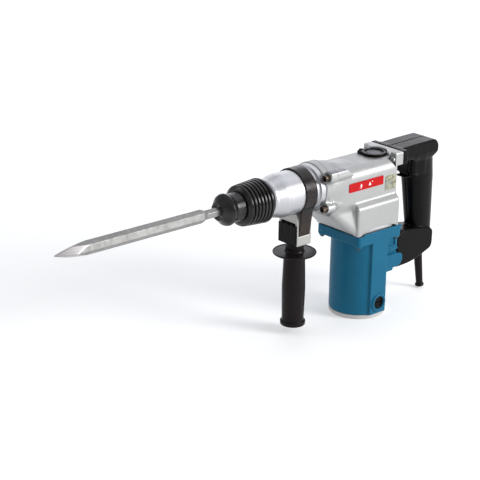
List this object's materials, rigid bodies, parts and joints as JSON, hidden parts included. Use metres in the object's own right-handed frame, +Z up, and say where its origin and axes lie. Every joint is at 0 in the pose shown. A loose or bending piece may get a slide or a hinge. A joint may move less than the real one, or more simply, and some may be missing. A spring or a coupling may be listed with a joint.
{
  "type": "demolition hammer",
  "caption": "Corded L-shaped demolition hammer with upright motor, D-handle, clamp-on side grip, pull-back chuck sleeve and pointed chisel.",
  "frame": {"origin": "centre of the flat bottom face of the motor end cap, on the motor axis", "axes": "+Z up along the motor axis, -X forwards towards the chisel point, -Y towards the side with the name plate"},
  "size_m": [0.7372, 0.0984, 0.2675],
  "materials": {
    "cast_aluminium": "satin cast",
    "machined_aluminium": "fine turned",
    "teal_plastic": "semi-gloss moulded",
    "pale_plastic": "satin moulded",
    "black_plastic": "fine textured",
    "rubber": "satin",
    "steel": "machined",
    "forged_steel": "shot-blasted",
    "blackened_steel": "blackened",
    "copper": "varnished",
    "brass": "pressed",
    "carbon": "matt",
    "red_label": "printed",
    "gasket_paper": "oiled fibre"
  },
  "bodies": {
    "machine": {"motor_housing": "teal_plastic", "motor_end_cap": "pale_plastic", "housing_gasket": "gasket_paper", "stator_core": "steel", "field_coil_front": "copper", "field_coil_rear": "copper", "armature_bearing_lower": "steel", "armature_bearing_upper": "steel", "brush_holder_left": "brass", "brush_holder_right": "brass", "brush_spring_left": "steel", "brush_spring_right": "steel", "brush_cap_left": "black_plastic", "brush_cap_right": "black_plastic", "gear_housing": "cast_aluminium", "bearing_plate": "cast_aluminium", "name_plate": "red_label", "crank_bearing_lower": "steel", "crank_bearing_upper": "steel", "barrel_bolt_1": "blackened_steel", "barrel_bolt_2": "blackened_steel", "barrel_bolt_3": "blackened_steel", "barrel_bolt_4": "blackened_steel", "handle_screw_left": "blackened_steel", "handle_screw_right": "blackened_steel", "cylinder": "steel", "barrel": "machined_aluminium", "tool_holder": "steel", "sleeve_spring": "steel", "nose_cap": "rubber", "handle_left": "black_plastic", "handle_right": "black_plastic", "switch_body": "black_plastic", "cord_guard": "rubber"},
    "armature": {"armature_shaft": "steel", "armature_core": "steel", "commutator": "copper", "cooling_fan": "black_plastic"},
    "crank": {"crankshaft": "steel", "crank_gear": "steel"},
    "rod": {"connecting_rod": "cast_aluminium", "wrist_pin": "steel"},
    "piston": {"piston": "cast_aluminium", "piston_ring": "rubber"},
    "striker": {"striker": "steel"},
    "impact_bolt": {"impact_bolt": "steel"},
    "chisel": {"chisel": "forged_steel"},
    "sleeve": {"release_sleeve": "rubber", "lock_ring": "steel"},
    "ball": {"retaining_ball": "steel"},
    "side_handle": {"clamp_band": "blackened_steel", "clamp_saddle": "cast_aluminium", "clamp_block": "black_plastic", "clamp_stud": "steel"},
    "side_grip": {"side_grip": "black_plastic"},
    "trigger": {"trigger": "black_plastic"},
    "lock_button": {"lock_button": "black_plastic"},
    "grease_cap": {"grease_cap": "black_plastic"},
    "brush_left": {"brush_left": "carbon"},
    "brush_right": {"brush_right": "carbon"}
  },
  "joints": [
    {"name": "armature_spin", "type": "hinge", "parent": "machine", "child": "armature", "pos_m": [0, 0, 0.08], "axis": [0, 0, 1], "continuous": true},
    {"name": "crank_turn", "type": "hinge", "parent": "machine", "child": "crank", "pos_m": [-0.02625, 0, 0.18], "axis": [0, 0, 1], "continuous": true},
    {"name": "rod_swing", "type": "hinge", "parent": "crank", "child": "rod", "pos_m": [-0.03825, 0, 0.229], "axis": [0, 0, 1], "continuous": true},
    {"name": "piston_slide", "type": "slide", "parent": "machine", "child": "piston", "axis": [1, 0, 0], "range_m": [0, 0.024]},
    {"name": "striker_slide", "type": "slide", "parent": "machine", "child": "striker", "axis": [1, 0, 0], "range_m": [0, 0.012]},
    {"name": "impact_bolt_slide", "type": "slide", "parent": "machine", "child": "impact_bolt", "axis": [-1, 0, 0], "range_m": [0, 0.009]},
    {"name": "chisel_slide", "type": "slide", "parent": "machine", "child": "chisel", "axis": [-1, 0, 0], "range_m": [0, 0.012]},
    {"name": "sleeve_pull", "type": "slide", "parent": "machine", "child": "sleeve", "axis": [1, 0, 0], "range_m": [0, 0.01], "stiffness_N_per_m": 1200, "springref_m": -0.008, "deforming": ["sleeve_spring"]},
    {"name": "ball_release", "type": "slide", "parent": "machine", "child": "ball", "axis": [0, 0, 1], "range_m": [0, 0.0025]},
    {"name": "side_handle_swivel", "type": "hinge", "parent": "machine", "child": "side_handle", "pos_m": [-0.14, 0, 0.229], "axis": [1, 0, 0], "continuous": true},
    {"name": "side_grip_turn", "type": "hinge", "parent": "side_handle", "child": "side_grip", "pos_m": [-0.14, 0, 0.1], "axis": [0, 0, 1], "continuous": true},
    {"name": "trigger_press", "type": "slide", "parent": "machine", "child": "trigger", "axis": [1, 0, 0], "range_m": [0, 0.006], "stiffness_N_per_m": 1200, "springref_m": -0.003},
    {"name": "lock_button_press", "type": "slide", "parent": "machine", "child": "lock_button", "axis": [0, -1, 0], "range_m": [0, 0.003], "stiffness_N_per_m": 700, "springref_m": -0.002},
    {"name": "grease_cap_turn", "type": "hinge", "parent": "machine", "child": "grease_cap", "pos_m": [0.0244, 0, 0.25], "axis": [0, 0, 1], "range_deg": [0, 90]},
    {"name": "brush_left_slide", "type": "slide", "parent": "machine", "child": "brush_left", "axis": [0, -1, 0], "range_m": [0, 0.004], "stiffness_N_per_m": 250, "springref_m": -0.008, "deforming": ["brush_spring_left"]},
    {"name": "brush_right_slide", "type": "slide", "parent": "machine", "child": "brush_right", "axis": [0, 1, 0], "range_m": [0, 0.004], "stiffness_N_per_m": 250, "springref_m": -0.008, "deforming": ["brush_spring_right"]}
  ],
  "couplings": [
    {"joint": "crank_turn", "follows": "armature_spin", "ratio": -0.2},
    {"joint": "rod_swing", "follows": "armature_spin", "ratio": 0.2},
    {"joint": "impact_bolt_slide", "follows": "chisel_slide", "ratio": 0.66667},
    {"joint": "ball_release", "follows": "sleeve_pull", "ratio": 0.25}
  ]
}
